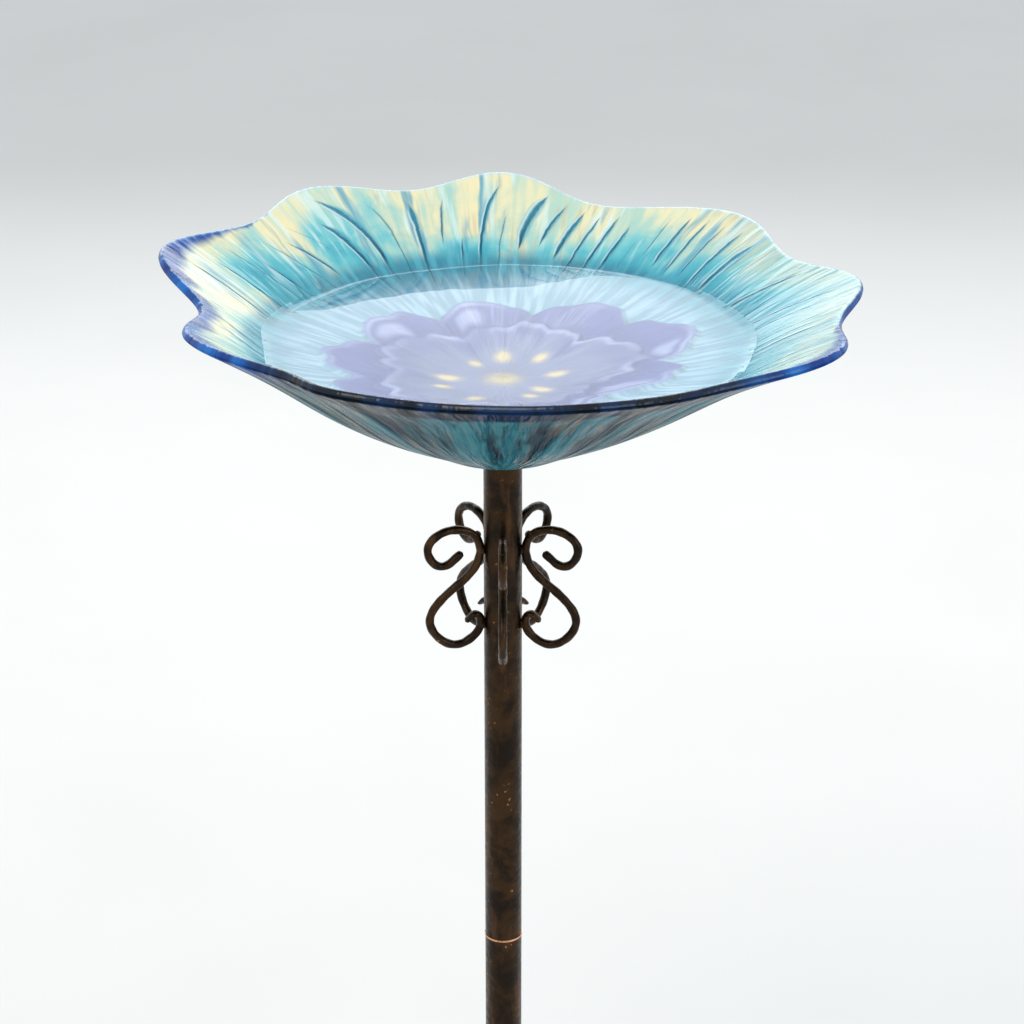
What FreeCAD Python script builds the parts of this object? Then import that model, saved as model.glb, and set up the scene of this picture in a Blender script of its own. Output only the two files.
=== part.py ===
import FreeCAD, Part

# Garden bird bath: a lobed glass bowl screwed onto a two-section tube pole that carries five wire
# scrolls and stands in a ground fork. Millimetres, +Z up, -Y front. The origin is on the pole axis
# at ground level, which is the underside of the fork's step bar.

import math
import os

os.makedirs("parts", exist_ok=True)

V = FreeCAD.Vector

# Pole
TUBE_OD = 22.0
TUBE_WALL = 1.5
UPPER_TUBE_LENGTH = 311.0
LOWER_TUBE_LENGTH = 311.0
PLUG_LENGTH = 14.0

# Screw joints at both ends of the upper section
THREAD_DIAMETER = 10.0
THREAD_CLEARANCE = 0.1
THREAD_ENGAGEMENT = 8.0
STUD_CHAMFER = 1.0
JOINT_RING_THICKNESS = 1.2
JOINT_RING_OVERHANG = 0.4
RUBBER_WASHER_THICKNESS = 2.0

# Bowl mounting
FLANGE_DIAMETER = 46.0
FLANGE_THICKNESS = 1.5
BOND_THICKNESS = 0.5
BOND_INSET = 1.0

# Glass bowl
BOWL_RADIUS_SCALE = 1.0
BOWL_HEIGHT_SCALE = 1.0
GLASS_THICKNESS = 5.0
FOOT_MARGIN = 3.0
PLAIN_RADIUS = 80.0
RIM_RADIUS = 191.0
RIM_HEIGHT = 91.0
STEPS_AROUND = 72

# Wire scrolls
SCROLL_COUNT = 5
SCROLL_WIRE = 5.0
SCROLL_REACH = 31.0
SCROLL_HEIGHT = 72.0
SCROLL_WAIST_BELOW_BOWL = 60.0
SCROLL_FIRST_ANGLE = -90.0
SCROLL_SEAT = 0.2
WELD_RADIUS = 3.4

# Ground fork
BAR_WIDTH = 20.0
BAR_THICKNESS = 5.0
BAR_SPAN = 150.0
BAR_BEND = 9.0
PRONG_LENGTH = 150.0
PRONG_POINT = 35.0
SPIKE_DIAMETER = 9.0
SPIKE_LENGTH = 165.0
SPIKE_POINT = 30.0
SOCKET_WALL = 2.4
SOCKET_HEIGHT = 45.0
SOCKET_CLEARANCE = 0.15
CAP_THICKNESS = 2.0
CAP_PLUG_LENGTH = 12.0
SET_SCREW_DIAMETER = 6.0
SET_SCREW_LENGTH = 14.0
SET_SCREW_HEAD = 10.0
SET_SCREW_HEAD_HEIGHT = 6.0
SET_SCREW_LEVEL = 0.55

# Rim lobes, anticlockwise from the right: angle, radius and height above the foot. Crests and
# dips take turns.
RIM_LOBES = [
    (5.0, 200.0, 90.5),
    (26.0, 183.0, 83.0),
    (46.0, 202.0, 90.0),
    (72.0, 187.0, 84.0),
    (90.0, 204.0, 99.0),
    (107.0, 187.0, 93.5),
    (126.0, 201.0, 101.0),
    (143.0, 184.0, 94.5),
    (166.0, 199.0, 100.5),
    (186.0, 164.0, 86.0),
    (207.0, 184.0, 94.0),
    (232.0, 178.0, 95.0),
    (244.0, 195.0, 98.5),
    (262.0, 184.0, 93.0),
    (281.0, 194.0, 96.0),
    (306.0, 182.0, 89.5),
    (328.0, 203.0, 93.5),
    (349.0, 184.0, 86.0),
]

# Underside of the bowl in section, from the foot outwards: radius and height.
BOWL_SECTION = [
    (45.0, 8.0),
    (65.0, 17.5),
    (90.0, 29.5),
    (115.0, 44.5),
    (135.0, 59.0),
    (155.0, 72.0),
    (175.0, 83.0),
    (RIM_RADIUS, RIM_HEIGHT),
]

# One scroll's centre line from the inner end of the upper curl: outward share of the reach,
# upward share of the height. Outward 0 is where the wire rests on the tube.
SCROLL_LINE = [
    (0.34, 0.010),
    (0.48, -0.040),
    (0.61, -0.082),
    (0.75, -0.092),
    (0.88, -0.063),
    (0.98, 0.004),
    (1.00, 0.075),
    (0.93, 0.135),
    (0.80, 0.178),
    (0.65, 0.203),
    (0.48, 0.208),
    (0.31, 0.194),
    (0.16, 0.160),
    (0.05, 0.100),
    (0.00, 0.010),
    (0.05, -0.085),
    (0.16, -0.164),
    (0.34, -0.240),
    (0.58, -0.318),
    (0.79, -0.400),
    (0.93, -0.480),
    (0.98, -0.562),
    (0.93, -0.643),
    (0.81, -0.716),
    (0.66, -0.768),
    (0.50, -0.792),
    (0.34, -0.786),
    (0.18, -0.750),
    (0.06, -0.700),
    (0.00, -0.640),
    (0.02, -0.575),
    (0.13, -0.545),
    (0.30, -0.605),
]
SCROLL_WELDS = (0.010, -0.640)

# Levels, from the ground up
TUBE_RADIUS = TUBE_OD / 2
BORE_RADIUS = TUBE_RADIUS - TUBE_WALL
STUD_RADIUS = THREAD_DIAMETER / 2
LOWER_TUBE_Z = BAR_THICKNESS + CAP_THICKNESS
LOWER_TUBE_TOP = LOWER_TUBE_Z + LOWER_TUBE_LENGTH
UPPER_TUBE_Z = LOWER_TUBE_TOP + JOINT_RING_THICKNESS
UPPER_TUBE_TOP = UPPER_TUBE_Z + UPPER_TUBE_LENGTH
FLANGE_Z = UPPER_TUBE_TOP + RUBBER_WASHER_THICKNESS
BOND_Z = FLANGE_Z + FLANGE_THICKNESS
BOWL_Z = BOND_Z + BOND_THICKNESS
SCROLL_Z = BOWL_Z - SCROLL_WAIST_BELOW_BOWL


def rod(radius, z, length):
    return Part.makeCylinder(radius, length, V(0, 0, z))


def ring(outer, inner, z, length):
    return rod(outer, z, length).cut(rod(inner, z, length))


def chamfered(shape, levels, size):
    """The shape with a chamfer on its round outer edges at these levels."""
    edges = []
    for edge in shape.Edges:
        box = edge.BoundBox
        flat = box.ZLength < 1e-6 and box.XLength > 0.9 * shape.BoundBox.XLength
        if flat and any(abs(box.ZMin - level) < 1e-6 for level in levels):
            edges.append(edge)
    return shape.makeChamfer(size, edges)


def write(name, shape):
    if not shape.isValid():
        raise ValueError(name + " is not a valid solid")
    shape.exportStep("parts/" + name + ".step")


def rim_at(angle):
    """Radius and height of the rim at this angle in degrees, eased between crests and dips."""
    count = len(RIM_LOBES)
    for i in range(count):
        start = RIM_LOBES[i]
        end = RIM_LOBES[(i + 1) % count]
        span = (end[0] - start[0]) % 360
        along = (angle - start[0]) % 360
        if along < span:
            ease = (1 - math.cos(math.pi * along / span)) / 2
            radius = start[1] + (end[1] - start[1]) * ease
            height = start[2] + (end[2] - start[2]) * ease
            return radius, height
    raise ValueError("the rim table leaves a gap")


def section_at(angle):
    """Points round the glass section at this angle: up the inside, over the rim, down the outside."""
    rim_radius, rim_height = rim_at(angle)
    outside = []
    for radius, height in BOWL_SECTION:
        share = max(0.0, (radius - PLAIN_RADIUS) / (RIM_RADIUS - PLAIN_RADIUS)) ** 1.5
        r = radius * (1 + share * (rim_radius / RIM_RADIUS - 1)) * BOWL_RADIUS_SCALE
        z = height * (1 + share * (rim_height / RIM_HEIGHT - 1)) * BOWL_HEIGHT_SCALE
        outside.append((r, z))
    foot = FLANGE_DIAMETER / 2 + FOOT_MARGIN
    ends = [(foot, 0.0)] + outside
    inside = [(foot, GLASS_THICKNESS)]
    for i in range(1, len(ends)):
        before = ends[i - 1]
        after = ends[min(i + 1, len(ends) - 1)]
        dr = after[0] - before[0]
        dz = after[1] - before[1]
        size = math.hypot(dr, dz)
        r = ends[i][0] - GLASS_THICKNESS * dz / size
        z = ends[i][1] + GLASS_THICKNESS * dr / size
        inside.append((r, z))
    dr /= size
    dz /= size
    lip = 0.6 * GLASS_THICKNESS
    crest = [(p[0] + lip * dr, p[1] + lip * dz) for p in (inside[-1], outside[-1])]
    ease_in = [(foot + 6.0, GLASS_THICKNESS)]
    ease_out = [(foot + 6.0, 0.0)]
    return inside[:1] + ease_in + inside[1:] + crest + outside[::-1] + ease_out + [(foot, 0.0)]


def bowl():
    poles = []
    for step in range(STEPS_AROUND):
        angle = 360.0 * step / STEPS_AROUND
        c = math.cos(math.radians(angle))
        s = math.sin(math.radians(angle))
        poles.append([V(r * c, r * s, BOWL_Z + z) for r, z in section_at(angle)])
    across = len(poles[0])
    v_mults = [4] + [1] * (across - 4) + [4]
    u_mults = [1] * (STEPS_AROUND + 1)
    surface = Part.BSplineSurface()
    surface.buildFromPolesMultsKnots(
        poles,
        u_mults,
        v_mults,
        [float(i) for i in range(len(u_mults))],
        [float(i) for i in range(len(v_mults))],
        True,
        False,
        3,
        3,
    )
    wall = surface.toShape()
    level = [e for e in wall.Edges if e.BoundBox.ZLength < 1e-6]
    discs = [Part.Face(Part.Wire([edge])) for edge in level]
    shell = Part.makeShell([wall] + discs)
    shell.sewShape()
    solid = Part.Solid(Part.Shell(shell.Faces))
    if solid.Volume < 0:
        solid.reverse()
    return solid


def scroll(angle):
    """A wire scroll in the XZ plane, welded to the tube at its waist and lower curl, then turned."""
    rest = TUBE_RADIUS + SCROLL_WIRE / 2 - SCROLL_SEAT
    points = [V(rest + u * SCROLL_REACH, 0, SCROLL_Z + v * SCROLL_HEIGHT) for u, v in SCROLL_LINE]
    line = Part.BSplineCurve()
    line.interpolate(points)
    tangent = line.tangent(line.FirstParameter)[0]
    start = Part.Wire([Part.makeCircle(SCROLL_WIRE / 2, points[0], tangent)])
    shape = Part.Wire([line.toShape()]).makePipeShell([start], True, False)
    for level in SCROLL_WELDS:
        centre = V(TUBE_RADIUS + 1.0, 0, SCROLL_Z + level * SCROLL_HEIGHT)
        shape = shape.fuse(Part.makeSphere(WELD_RADIUS, centre))
    shape = shape.cut(rod(TUBE_RADIUS, SCROLL_Z - SCROLL_HEIGHT, 2 * SCROLL_HEIGHT))
    shape = shape.removeSplitter()
    shape.rotate(V(0, 0, 0), V(0, 0, 1), angle)
    return shape


def bent_bar():
    """The fork's flat bar: a level step with a pointed prong turned down at each end."""
    half = BAR_SPAN / 2
    outer = Part.makeBox(
        BAR_SPAN,
        BAR_WIDTH,
        BAR_THICKNESS + PRONG_LENGTH,
        V(-half, -BAR_WIDTH / 2, -PRONG_LENGTH),
    )
    inner = Part.makeBox(
        BAR_SPAN - 2 * BAR_THICKNESS,
        BAR_WIDTH,
        PRONG_LENGTH,
        V(-half + BAR_THICKNESS, -BAR_WIDTH / 2, -PRONG_LENGTH),
    )
    inside_bend = BAR_BEND - BAR_THICKNESS
    top_edges = [e for e in outer.Edges if on_corner(e, half, BAR_THICKNESS)]
    inner_edges = [e for e in inner.Edges if on_corner(e, half - BAR_THICKNESS, 0.0)]
    bar = outer.makeFillet(BAR_BEND, top_edges).cut(inner.makeFillet(inside_bend, inner_edges))
    tip = -PRONG_LENGTH
    shoulder = tip + PRONG_POINT
    for side in (-1, 1):
        corner = V(-half, side * BAR_WIDTH / 2, shoulder)
        base = V(-half, side * BAR_WIDTH / 2, tip)
        point = V(-half, side * 1.0, tip)
        wedge = Part.Face(Part.makePolygon([corner, base, point, corner]))
        bar = bar.cut(wedge.extrude(V(BAR_SPAN, 0, 0)))
    return bar


def on_corner(edge, x, z):
    """True for an edge that runs along Y at this distance either side of the middle."""
    box = edge.BoundBox
    along_y = box.XLength < 1e-6 and box.ZLength < 1e-6
    return along_y and abs(abs(box.XMin) - x) < 1e-6 and abs(box.ZMin - z) < 1e-6


def spike():
    """Centre spike hanging from the underside of the step."""
    shaft = rod(SPIKE_DIAMETER / 2, -(SPIKE_LENGTH - SPIKE_POINT), SPIKE_LENGTH - SPIKE_POINT)
    point = Part.makeCone(0.8, SPIKE_DIAMETER / 2, SPIKE_POINT, V(0, 0, -SPIKE_LENGTH))
    return shaft.fuse(point).removeSplitter()


def socket():
    inner = TUBE_RADIUS + SOCKET_CLEARANCE
    tube = ring(inner + SOCKET_WALL, inner, BAR_THICKNESS, SOCKET_HEIGHT)
    return tube.cut(set_screw_shank())


def set_screw_shank():
    level = BAR_THICKNESS + SET_SCREW_LEVEL * SOCKET_HEIGHT
    return Part.makeCylinder(
        SET_SCREW_DIAMETER / 2, SET_SCREW_LENGTH, V(TUBE_RADIUS, 0, level), V(1, 0, 0)
    )


def set_screw():
    """Hexagon-headed screw that clamps the pole in the socket."""
    level = BAR_THICKNESS + SET_SCREW_LEVEL * SOCKET_HEIGHT
    start = TUBE_RADIUS + SET_SCREW_LENGTH
    across_corners = SET_SCREW_HEAD / 2 / math.cos(math.pi / 6)
    corners = []
    for i in range(7):
        turn = math.radians(60 * i)
        y = across_corners * math.cos(turn)
        z = across_corners * math.sin(turn)
        corners.append(V(start, y, level + z))
    head = Part.Face(Part.makePolygon(corners)).extrude(V(SET_SCREW_HEAD_HEIGHT, 0, 0))
    return set_screw_shank().fuse(head).removeSplitter()


def plug(z, bore):
    return ring(BORE_RADIUS, bore, z, PLUG_LENGTH)


free_bore = STUD_RADIUS + THREAD_CLEARANCE

# Bowl and its flange
write("glass_bowl", bowl())
write("bond_disc", rod(FLANGE_DIAMETER / 2 - BOND_INSET, BOND_Z, BOND_THICKNESS))
write("flange_plate", rod(FLANGE_DIAMETER / 2, FLANGE_Z, FLANGE_THICKNESS))
stud_length = RUBBER_WASHER_THICKNESS + THREAD_ENGAGEMENT
flange_stud_z = FLANGE_Z - stud_length
write(
    "flange_stud",
    chamfered(rod(STUD_RADIUS, flange_stud_z, stud_length), [flange_stud_z], STUD_CHAMFER),
)
write("rubber_washer", ring(TUBE_RADIUS, free_bore, UPPER_TUBE_TOP, RUBBER_WASHER_THICKNESS))

# Upper section
write("upper_tube", ring(TUBE_RADIUS, BORE_RADIUS, UPPER_TUBE_Z, UPPER_TUBE_LENGTH))
write("top_plug", plug(UPPER_TUBE_TOP - PLUG_LENGTH, free_bore))
write("upper_end_plug", plug(UPPER_TUBE_Z, free_bore))
for number in range(SCROLL_COUNT):
    turn = SCROLL_FIRST_ANGLE + 360.0 * number / SCROLL_COUNT
    write("scroll_" + str(number + 1), scroll(turn))

# Joint between the sections
ring_radius = TUBE_RADIUS + JOINT_RING_OVERHANG
write("joint_ring", ring(ring_radius, free_bore, LOWER_TUBE_TOP, JOINT_RING_THICKNESS))
coupling_z = LOWER_TUBE_TOP - PLUG_LENGTH
coupling_top = UPPER_TUBE_Z + THREAD_ENGAGEMENT
write(
    "coupling_stud",
    chamfered(rod(STUD_RADIUS, coupling_z, coupling_top - coupling_z), [coupling_top], STUD_CHAMFER),
)

# Lower section and fork
write("lower_tube", ring(TUBE_RADIUS, BORE_RADIUS, LOWER_TUBE_Z, LOWER_TUBE_LENGTH))
write("lower_top_plug", plug(coupling_z, STUD_RADIUS))
cap = rod(TUBE_RADIUS, BAR_THICKNESS, CAP_THICKNESS)
cap = cap.fuse(rod(BORE_RADIUS, LOWER_TUBE_Z, CAP_PLUG_LENGTH)).removeSplitter()
write("tube_end_cap", cap)
write("fork_socket", socket())
write("set_screw", set_screw())
write("step_bar", bent_bar())
write("centre_spike", spike())
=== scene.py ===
import math

import bmesh
import bpy
import numpy as np
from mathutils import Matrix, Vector
from mathutils.bvhtree import BVHTree


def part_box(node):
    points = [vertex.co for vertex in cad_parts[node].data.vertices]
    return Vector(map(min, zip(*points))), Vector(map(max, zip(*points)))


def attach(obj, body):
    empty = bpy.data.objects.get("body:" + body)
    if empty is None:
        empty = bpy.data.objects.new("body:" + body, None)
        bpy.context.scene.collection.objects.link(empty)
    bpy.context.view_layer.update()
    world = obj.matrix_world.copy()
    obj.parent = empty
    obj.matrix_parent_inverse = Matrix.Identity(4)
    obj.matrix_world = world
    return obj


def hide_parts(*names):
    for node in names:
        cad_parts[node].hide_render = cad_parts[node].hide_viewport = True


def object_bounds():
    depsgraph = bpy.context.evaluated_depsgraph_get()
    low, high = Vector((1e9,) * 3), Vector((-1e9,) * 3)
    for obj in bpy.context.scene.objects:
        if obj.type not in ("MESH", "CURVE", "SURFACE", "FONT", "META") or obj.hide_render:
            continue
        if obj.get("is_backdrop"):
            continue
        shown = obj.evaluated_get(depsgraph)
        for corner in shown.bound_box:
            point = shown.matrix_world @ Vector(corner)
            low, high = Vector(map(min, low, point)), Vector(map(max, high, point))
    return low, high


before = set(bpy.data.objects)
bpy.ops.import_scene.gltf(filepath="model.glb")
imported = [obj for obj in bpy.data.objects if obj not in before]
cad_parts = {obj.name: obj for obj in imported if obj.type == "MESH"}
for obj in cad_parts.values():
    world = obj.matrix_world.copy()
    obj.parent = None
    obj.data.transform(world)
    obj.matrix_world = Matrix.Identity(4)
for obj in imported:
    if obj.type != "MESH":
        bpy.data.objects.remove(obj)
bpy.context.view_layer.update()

# Lengths are in metres, angles in degrees.

DOWN = Vector((0, 0, -1))
UP = Vector((0, 0, 1))

# The camera: its angle above the bowl's foot and its distance from it, how many degrees lower
# than the foot it aims, and its step to the right of the pole.
CAMERA_ELEVATION = 22.0
CAMERA_DISTANCE = 1.55
CAMERA_AIM_DROP = 1.273
CAMERA_RIGHT = 0.0052
LENS = 96.7
SENSOR_WIDTH = 36.0
CLIP_START = 0.05
CLIP_END = 50.0

# The bowl's grid: rings from a small hole at the centre out to the rim, where they crowd
# together, and the search for the rim in each column.
COLUMNS = 480
CENTRE_HOLE = 0.0015
FLOOR_RINGS = 88
FLOOR_RADIUS = 0.110
WALL_RINGS = 62
OUTSIDE_RINGS = 50
RIM_CROWDING = 1.7
RIM_SEARCH = (0.12, 0.25)
RIM_HALVINGS = 16
RIM_MARGIN = 2e-5

# The water: its depth from this height over the bowl's foot, its rings as shares of the way to
# the shore with their rise, and how far its edge climbs into the wall.
GLASS_FLOOR = 0.006
WATER_DEPTH = 0.060
WATER_RINGS = [(0.02, 0), (0.5, 0), (0.85, 0), (0.96, 0), (0.985, 0.0002), (0.995, 0.0007)]
WATER_OVERLAP = 0.0022
WATER_CLIMB = 0.0016

# The veins: how many run round the wall, and how deep each groove and how high its banks are.
VEINS = 84
VEIN_SEED = 11
VEIN_DEPTH = 0.0006
VEIN_BANK = 0.0003

# The flower: two rings of petals, whose edges rise, and stamens round its eye. Its centre is a
# little nearer the viewer than the pole.
OUTER_PETALS = 9
OUTER_PETAL = 0.100
OUTER_RISE = 0.0065
INNER_PETALS = 5
INNER_PETAL = 0.071
INNER_RISE = 0.0060
PETAL_NOTCH = 0.20
FLOWER_FORWARD = 0.003
STAMENS = 9
STAMEN_RING = 0.033
STAMEN_SIZE = 0.0034
STAMEN_HEIGHT = 0.0018
FLOWER_EYE = 0.008

# The studs' threads: the crest's slope, and how much of it the flat root takes.
THREAD_PITCH = 0.0015
THREAD_DEPTH = 0.0009
THREAD_SLOPE = 1.25
THREAD_ROOT = 0.12
THREAD_SIDES = 64
THREAD_STEPS_PER_TURN = 10

# The scrolls: the wire and its two ends, the curve's size and place, and the two weld beads,
# whose heights from the waist are shares of the scroll's height.
SCROLLS = 5
SCROLL_WIRE = 0.005
WIRE_SIDES = 20
WIRE_FIT = 0.985
WIRE_DOME = 0.0022
WIRE_TIP = 0.0016
TIP_FLATTENED = (0.012, 0.001)
SCROLL_REACH = 0.031
SCROLL_HEIGHT = 0.072
SCROLL_WAIST_BELOW_BOWL = 0.060
SCROLL_STEPS = 8
SCROLL_WELDS = (0.010, -0.640)
WELD_RADIUS = 0.00288
WELD_STANDOFF = 0.0010
WELD_RINGS = 11
WELD_FLATNESS = 0.8
TUBE_BITE = 0.0002

# One scroll's centre line, from the inner end of the upper curl down: outward share of the
# reach and upward share of the height.
SCROLL_LINE = [
    (0.34, 0.010),
    (0.48, -0.040),
    (0.61, -0.082),
    (0.75, -0.092),
    (0.88, -0.063),
    (0.98, 0.004),
    (1.00, 0.075),
    (0.93, 0.135),
    (0.80, 0.178),
    (0.65, 0.203),
    (0.48, 0.208),
    (0.31, 0.194),
    (0.16, 0.160),
    (0.05, 0.100),
    (0.00, 0.010),
    (0.05, -0.085),
    (0.16, -0.164),
    (0.34, -0.240),
    (0.58, -0.318),
    (0.79, -0.400),
    (0.93, -0.480),
    (0.98, -0.562),
    (0.93, -0.643),
    (0.81, -0.716),
    (0.66, -0.768),
    (0.50, -0.792),
    (0.34, -0.786),
    (0.18, -0.750),
    (0.06, -0.700),
    (0.00, -0.640),
    (0.02, -0.575),
    (0.13, -0.545),
    (0.30, -0.605),
]

BRONZE_NODES = [
    "upper_tube",
    "lower_tube",
    "fork_socket",
    "step_bar",
    "centre_spike",
    "flange_plate",
]
STEEL_NODES = ["top_plug", "upper_end_plug", "lower_top_plug", "set_screw"]

# The stage. Each light has a name, a place, a size, a power and a colour.
FLOOR_HALF = 40.0
FLOOR_DULL = (0.76, 0.76, 0.74)
FLOOR_PALE = (0.82, 0.82, 0.80)
SKY_COLOUR = (0.92, 0.96, 1.0, 1.0)
SKY_STRENGTH = 0.78
LIGHT_AIM = 0.05
LIGHTS = [
    ("key", (-1.0, -1.5, 2.8), (1.4, 1.4), 28, (1.0, 0.97, 0.92)),
    ("sky_panel", (0.0, 2.6, 1.75), (4.2, 1.3), 43, (0.98, 0.99, 0.98)),
    ("fill", (2.0, -1.4, 1.4), (1.2, 1.2), 10, (0.96, 0.98, 1.0)),
]

# Colours, as linear red, green and blue.
# The rim: cobalt paint, with navy and black painted shade round the front.
RIM_SHADE_BLACK = (0.0020, 0.0065, 0.0130)
RIM_SHADE_NAVY = (0.004, 0.022, 0.075)
COBALT_DARK = (0.004, 0.040, 0.230)
COBALT = (0.010, 0.150, 0.520)
# A painted highlight along the back of the lip.
LIP_HIGHLIGHT = (0.480, 0.740, 0.880)
# The inside wall, from the water up, and its veins.
DEEP_TURQUOISE = (0.010, 0.270, 0.400)
TURQUOISE = (0.150, 0.600, 0.650)
CREAM = (0.900, 0.820, 0.500)
PALE_AQUA = (0.760, 0.930, 0.900)
BLUE_WASH = (0.018, 0.320, 0.480)
TAN = (0.600, 0.460, 0.290)
# The right of the wall: partly bluer paint, partly painted shade.
RIGHT_BLUE_AND_SHADE = (0.050, 0.360, 0.470)
VEIN_HALO = (0.045, 0.380, 0.500)
VEIN_INK_LOW = (0.003, 0.050, 0.120)
VEIN_INK_HIGH = (0.014, 0.210, 0.330)
VEIN_GLINT = (0.780, 0.900, 0.900)
# Under the water: the wall, the floor and the flower.
TEAL_DARK = (0.028, 0.230, 0.330)
TEAL_LIGHT = (0.080, 0.380, 0.480)
FLOOR_DARK = (0.150, 0.350, 0.480)
FLOOR_LIGHT = (0.360, 0.550, 0.660)
LILAC_DARK = (0.028, 0.048, 0.280)
LILAC_LIGHT = (0.080, 0.105, 0.430)
LILAC_SHADE = (0.020, 0.035, 0.280)
MAUVE_DARK = (0.120, 0.140, 0.330)
MAUVE_LIGHT = (0.215, 0.228, 0.420)
MAUVE_SHADE = (0.060, 0.075, 0.330)
# Painted highlights on the petals.
PETAL_HIGHLIGHT = (0.600, 0.620, 0.860)
STAMEN_YELLOW = (0.820, 0.600, 0.300)
# The outside, which shows the back of the paint, darkened partly as painted shade.
BACK_DARK = (0.003, 0.032, 0.052)
BACK_TEAL = (0.016, 0.155, 0.205)
BACK_PALE = (0.090, 0.270, 0.300)
BACK_BROWN = (0.125, 0.088, 0.042)
BACK_NAVY = (0.003, 0.016, 0.034)
# The pole and the scrolls.
BRONZE_DARK = (0.0115, 0.0057, 0.0021)
BRONZE_BROWN = (0.0440, 0.0205, 0.0054)
BRONZE_WARM = (0.0900, 0.0420, 0.0160)
CHIPPED_COPPER = (0.460, 0.210, 0.100)
# The fittings.
STEEL_DARK = (0.42, 0.41, 0.38)
STEEL_LIGHT = (0.66, 0.65, 0.60)
COPPER_DARK = (0.55, 0.25, 0.13)
COPPER_LIGHT = (0.86, 0.48, 0.28)
COPPER_TARNISH = (0.20, 0.08, 0.04)
RUBBER_DARK = (0.012, 0.012, 0.012)
RUBBER_LIGHT = (0.030, 0.030, 0.029)
PLASTIC_DARK = (0.014, 0.014, 0.015)
PLASTIC_LIGHT = (0.026, 0.026, 0.027)
BOND_DARK = (0.50, 0.52, 0.53)
BOND_LIGHT = (0.66, 0.68, 0.69)
# The water.
WATER_CLEAR = (0.93, 0.98, 1.0)


# ---------------------------------------------------------------- material helpers


class Shader:
    """A node material: each call adds a node and returns its output socket."""

    def __init__(self, name):
        self.material = bpy.data.materials.new(name)
        self.material.use_nodes = True
        self.tree = self.material.node_tree
        self.tree.nodes.clear()
        self.output = self.tree.nodes.new("ShaderNodeOutputMaterial")

    def put(self, socket, value):
        if isinstance(value, bpy.types.NodeSocket):
            self.tree.links.new(value, socket)
        elif value is not None:
            if isinstance(value, (tuple, list)) and len(value) == 3 and socket.type == "RGBA":
                value = (*value, 1.0)
            socket.default_value = value

    def node(self, kind, **inputs):
        made = self.tree.nodes.new(kind)
        for key, value in inputs.items():
            self.put(made.inputs[key.replace("_", " ")], value)
        return made

    def math(self, operation, a, b=None, c=None, clamp=False):
        made = self.tree.nodes.new("ShaderNodeMath")
        made.operation = operation
        made.use_clamp = clamp
        for socket, value in zip(made.inputs, (a, b, c)):
            self.put(socket, value)
        return made.outputs[0]

    def vector(self, operation, a, b=None):
        made = self.tree.nodes.new("ShaderNodeVectorMath")
        made.operation = operation
        self.put(made.inputs[0], a)
        self.put(made.inputs["Scale"] if operation == "SCALE" else made.inputs[1], b)
        return made.outputs["Value" if operation in ("LENGTH", "DOT_PRODUCT") else "Vector"]

    def mix(self, factor, a, b, blend="MIX"):
        made = self.tree.nodes.new("ShaderNodeMix")
        made.data_type = "RGBA"
        made.blend_type = blend
        self.put(made.inputs["Factor"], factor)
        for socket, value in zip([i for i in made.inputs if i.type == "RGBA"], (a, b)):
            self.put(socket, value)
        return [o for o in made.outputs if o.type == "RGBA"][0]

    def step(self, value, low, high, out_low=0.0, out_high=1.0):
        """The value eased from out_low at low to out_high at high."""
        made = self.tree.nodes.new("ShaderNodeMapRange")
        made.interpolation_type = "SMOOTHSTEP"
        for socket, number in zip(made.inputs, (value, low, high, out_low, out_high)):
            self.put(socket, number)
        return made.outputs[0]

    def noise(self, vector, scale, detail=3.0, roughness=0.55, distortion=0.0):
        made = self.node(
            "ShaderNodeTexNoise",
            Scale=scale,
            Detail=detail,
            Roughness=roughness,
            Distortion=distortion,
        )
        self.put(made.inputs["Vector"], vector)
        return made.outputs["Fac"]

    def attribute(self, name):
        made = self.tree.nodes.new("ShaderNodeAttribute")
        made.attribute_name = name
        return made

    def place(self):
        return self.tree.nodes.new("ShaderNodeTexCoord").outputs["Object"]

    def bump(self, height, distance, strength=1.0, normal=None):
        made = self.node("ShaderNodeBump", Height=height, Distance=distance, Strength=strength)
        self.put(made.inputs["Normal"], normal)
        return made.outputs["Normal"]

    def principled(self, **inputs):
        made = self.node("ShaderNodeBsdfPrincipled", **inputs)
        self.tree.links.new(made.outputs[0], self.output.inputs["Surface"])
        return self.material


# ---------------------------------------------------------------- materials


def paint_fields(s):
    """Shared fields of the bowl's paint: position round and across the glass, and its streaks."""
    uv = s.tree.nodes.new("ShaderNodeUVMap")
    uv.uv_map = "glaze"
    split = s.node("ShaderNodeSeparateXYZ", Vector=uv.outputs["UV"])
    place = s.place()
    flat = s.vector("MULTIPLY", place, (1.0, 1.0, 0.0))
    heading = s.vector("NORMALIZE", flat)
    broad = s.noise(place, 13.0, 3.0, 0.5, 0.5)
    blotch = s.noise(place, 48.0, 4.0, 0.62, 0.8)
    lift = s.node("ShaderNodeCombineXYZ", Z=s.math("MULTIPLY", split.outputs[1], 0.42))
    warp = s.node("ShaderNodeCombineXYZ", X=s.math("MULTIPLY", broad, 0.12))
    run = s.vector("ADD", s.vector("SCALE", heading, 2.4), lift.outputs[0])
    run = s.vector("ADD", run, warp.outputs[0])
    return {
        "around": split.outputs[0],
        "across": split.outputs[1],
        "heading": heading,
        "front": s.vector("DOT_PRODUCT", heading, (0.0, -1.0, 0.0)),
        "radius": s.vector("LENGTH", flat),
        "streaks": s.noise(run, 4.8, 3.0, 0.52),
        "fine": s.noise(run, 12.0, 2.0, 0.48),
        "broad": broad,
        "blotch": blotch,
    }


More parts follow.
